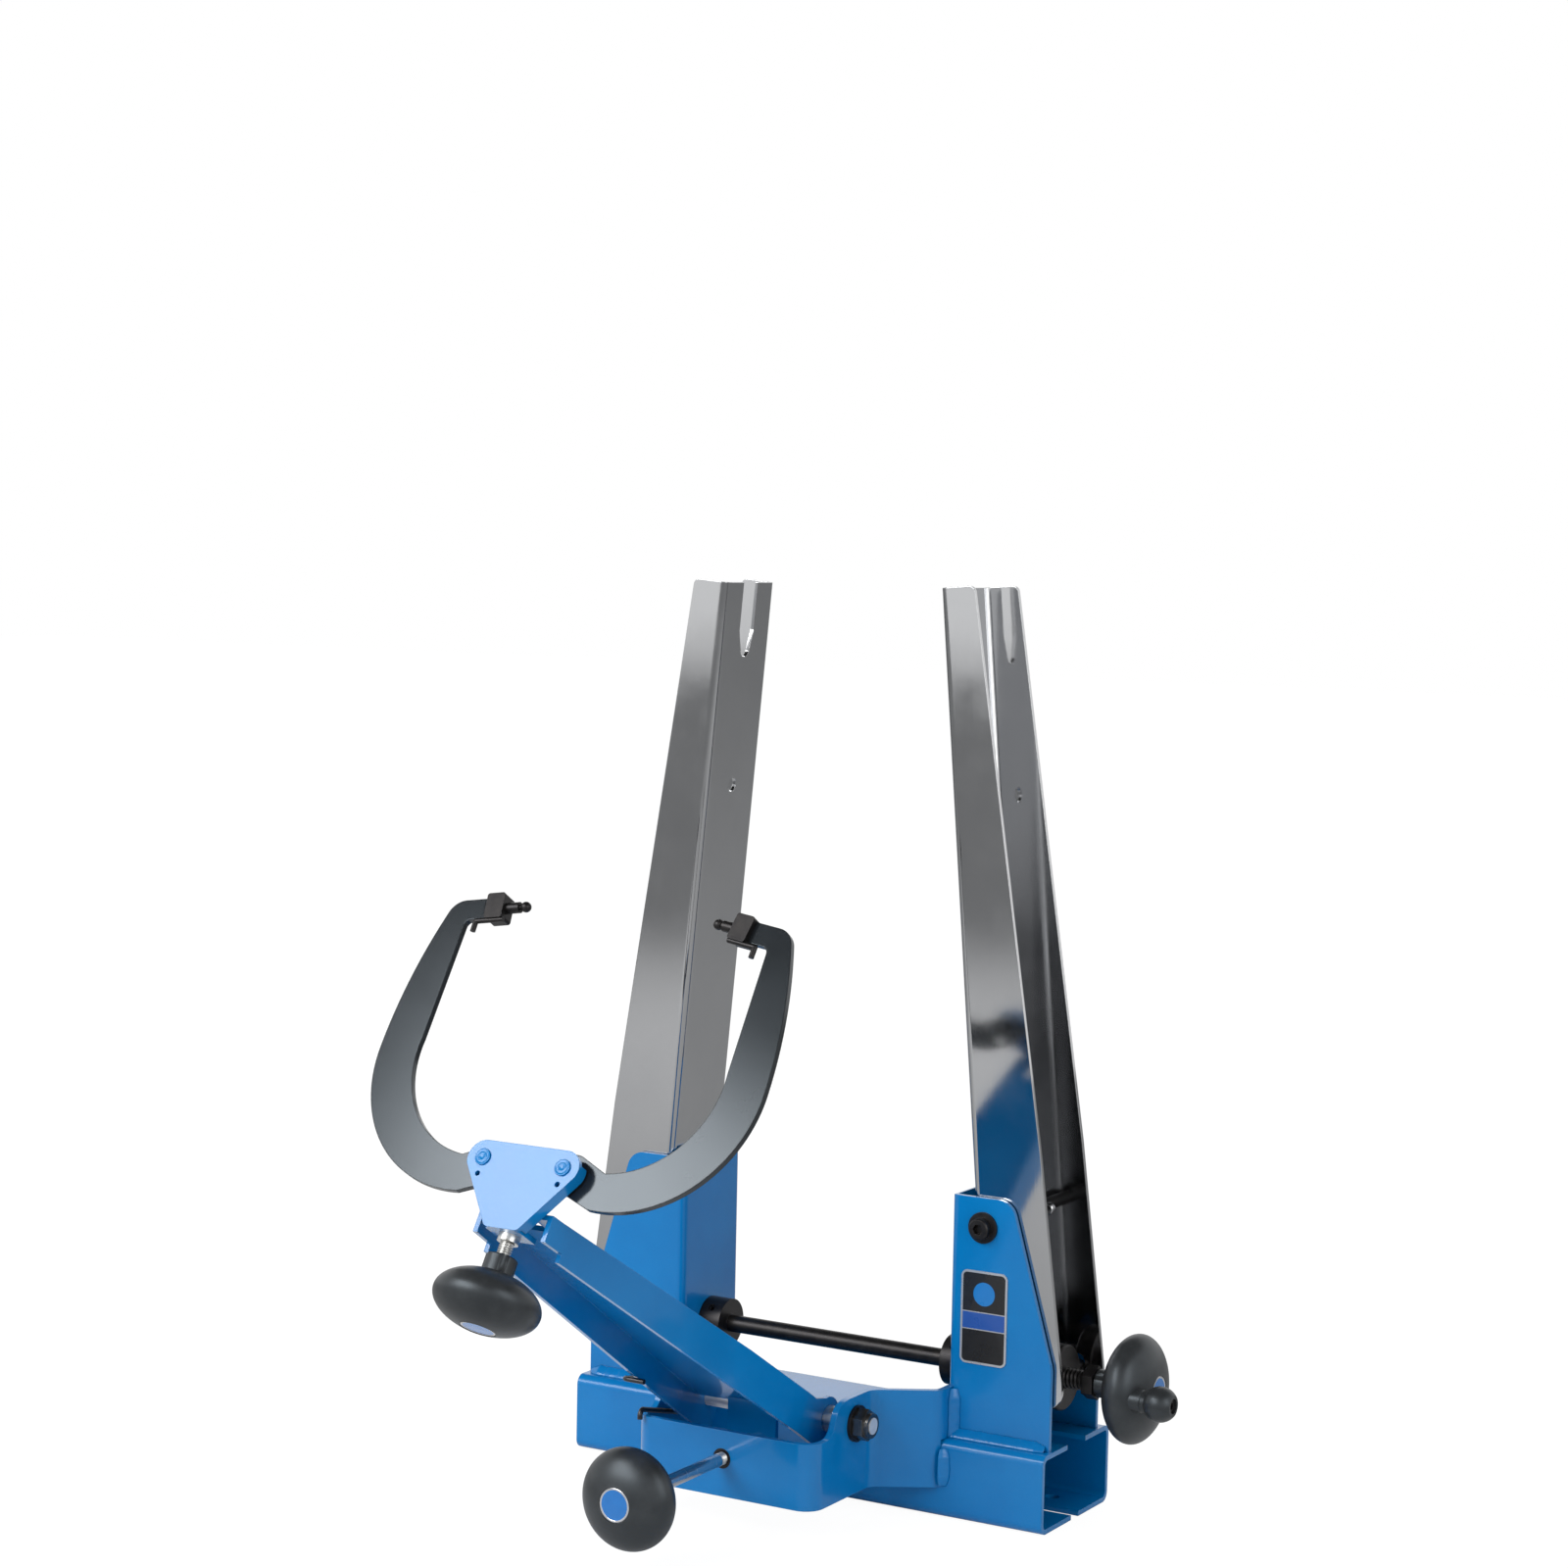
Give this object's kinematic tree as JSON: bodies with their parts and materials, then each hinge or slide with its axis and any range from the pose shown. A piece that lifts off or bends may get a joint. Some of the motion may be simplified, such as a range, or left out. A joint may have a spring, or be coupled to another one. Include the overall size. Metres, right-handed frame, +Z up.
{
  "type": "bicycle wheel truing stand",
  "caption": "Wheel truing stand: folded base, tilting channel uprights moved by a knob and screw, and a front arm with paired calipers set by two knobs.",
  "frame": {"origin": "centre of the base on the surface it stands on, at the bench bolt pattern", "axes": "+Z up, +X along the base towards the main knob, -Y towards the caliper arm"},
  "size_m": [0.4194, 0.4508, 0.5627],
  "materials": {
    "blue_coat": "glossy powder coat",
    "chrome_plate": "polished chrome plate",
    "dark_coat": "dark charcoal satin coat",
    "black_oxide": "black oxide, oiled",
    "zinc_steel": "bright zinc",
    "bronze": "plain bearing bronze",
    "black_plastic": "satin black plastic",
    "knob_cap": "blue printed disc with a silver ring",
    "label": "black label with a silver border and a blue band",
    "spring_steel": "oiled spring steel"
  },
  "bodies": {
    "ground": {"base_channel": "blue_coat", "right_bracket": "blue_coat", "left_bracket": "blue_coat", "weld_beads": "blue_coat", "front_yoke": "blue_coat", "label_plate": "label", "right_web_bush": "bronze", "left_web_bush": "bronze", "right_pivot_bolt": "black_oxide", "left_pivot_bolt": "black_oxide", "pivot_nuts": "zinc_steel", "lower_screw_bush": "black_oxide", "arm_pivot_bolt": "zinc_steel", "arm_pivot_nut": "black_oxide", "arm_pivot_washers": "black_oxide", "arm_spacers": "zinc_steel", "arm_spring": "spring_steel"},
    "spindle": {"spindle": "black_oxide", "right_collar": "black_oxide", "left_collar": "black_oxide", "collar_set_screws": "black_oxide", "right_jam_nut": "black_oxide", "left_stop_nut": "black_oxide", "main_knob": "black_plastic", "main_knob_cap": "knob_cap", "spinner_screw": "black_oxide"},
    "spinner": {"spinner_handle": "black_plastic"},
    "right_nut": {"right_travel_nut": "black_oxide"},
    "left_nut": {"left_travel_nut": "black_oxide"},
    "right_upright": {"right_upright": "chrome_plate", "right_thrust_washers": "zinc_steel", "right_stop_screw": "chrome_plate"},
    "left_upright": {"left_upright": "chrome_plate", "left_thrust_washers": "zinc_steel", "left_stop_screw": "chrome_plate"},
    "arm": {"caliper_arm": "blue_coat", "arm_push_pad": "zinc_steel", "head_plate": "blue_coat", "upper_screw_bush": "zinc_steel", "caliper_pins": "zinc_steel", "caliper_nuts": "black_oxide"},
    "right_caliper": {"right_caliper": "dark_coat", "right_tip_block": "black_oxide", "right_tip_pin": "black_oxide", "right_feeler": "black_oxide"},
    "left_caliper": {"left_caliper": "dark_coat", "left_tip_block": "black_oxide", "left_tip_pin": "black_oxide", "left_feeler": "black_oxide"},
    "upper_pad": {"upper_push_block": "black_oxide"},
    "upper_screw": {"upper_screw": "zinc_steel", "upper_knob": "black_plastic", "upper_knob_cap": "knob_cap"},
    "lower_tip": {"lower_thrust_tip": "zinc_steel"},
    "lower_screw": {"lower_screw": "zinc_steel", "lower_knob": "black_plastic", "lower_knob_cap": "knob_cap"}
  },
  "joints": [
    {"name": "right_upright_tilt", "type": "hinge", "parent": "ground", "child": "right_upright", "pos_m": [0.1175, 0, 0.178], "axis": [0, -1, 0], "range_deg": [-4.85, 6]},
    {"name": "left_upright_tilt", "type": "hinge", "parent": "ground", "child": "left_upright", "pos_m": [-0.1175, 0, 0.178], "axis": [0, 1, 0], "range_deg": [-4.85, 6]},
    {"name": "right_nut_slide", "type": "slide", "parent": "ground", "child": "right_nut", "axis": [1, 0, 0], "range_m": [-0.0082, 0.0102]},
    {"name": "left_nut_slide", "type": "slide", "parent": "ground", "child": "left_nut", "axis": [-1, 0, 0], "range_m": [-0.0082, 0.0102]},
    {"name": "main_knob_turn", "type": "hinge", "parent": "ground", "child": "spindle", "pos_m": [0, 0, 0.0853], "axis": [-1, 0, 0], "range_deg": [-1160, 1434]},
    {"name": "spinner_spin", "type": "hinge", "parent": "spindle", "child": "spinner", "pos_m": [0.22, -0.022, 0.0848], "axis": [1, 0, 0], "continuous": true},
    {"name": "arm_tilt", "type": "hinge", "parent": "ground", "child": "arm", "pos_m": [0, -0.088, 0.062], "axis": [-1, 0, 0], "range_deg": [-6, 18], "deforming": ["arm_spring"]},
    {"name": "lower_tip_slide", "type": "slide", "parent": "ground", "child": "lower_tip", "axis": [0, -1, 0], "range_m": [-0.0026, 0.0076]},
    {"name": "lower_knob_turn", "type": "hinge", "parent": "lower_tip", "child": "lower_screw", "pos_m": [0, -0.2, 0.042], "axis": [0, -1, 0], "range_deg": [-712, 2130]},
    {"name": "right_caliper_swing", "type": "hinge", "parent": "arm", "child": "right_caliper", "pos_m": [0.026, -0.33787, 0.24667], "axis": [0, 0.848, -0.5299], "range_deg": [-18, 8]},
    {"name": "left_caliper_swing", "type": "hinge", "parent": "arm", "child": "left_caliper", "pos_m": [-0.026, -0.33787, 0.24667], "axis": [0, -0.848, 0.5299], "range_deg": [-18, 8]},
    {"name": "upper_pad_slide", "type": "slide", "parent": "arm", "child": "upper_pad", "axis": [0, 0.5299, 0.848], "range_m": [-0.0065, 0.0029]},
    {"name": "upper_knob_turn", "type": "hinge", "parent": "upper_pad", "child": "upper_screw", "pos_m": [0, -0.36437, 0.20427], "axis": [0, 0.5299, 0.848], "range_deg": [-1865, 828]}
  ],
  "couplings": [
    {"joint": "left_upright_tilt", "follows": "right_upright_tilt", "ratio": 1},
    {"joint": "right_nut_slide", "follows": "right_upright_tilt", "m_per_rad": 0.0965},
    {"joint": "left_nut_slide", "follows": "right_upright_tilt", "m_per_rad": 0.0965},
    {"joint": "main_knob_turn", "follows": "right_upright_tilt", "ratio": 238.71},
    {"joint": "lower_tip_slide", "follows": "arm_tilt", "m_per_rad": 0.0234},
    {"joint": "lower_knob_turn", "follows": "arm_tilt", "ratio": 117.62},
    {"joint": "left_caliper_swing", "follows": "right_caliper_swing", "ratio": 1},
    {"joint": "upper_pad_slide", "follows": "right_caliper_swing", "m_per_rad": 0.0205},
    {"joint": "upper_knob_turn", "follows": "right_caliper_swing", "ratio": 103.04}
  ]
}
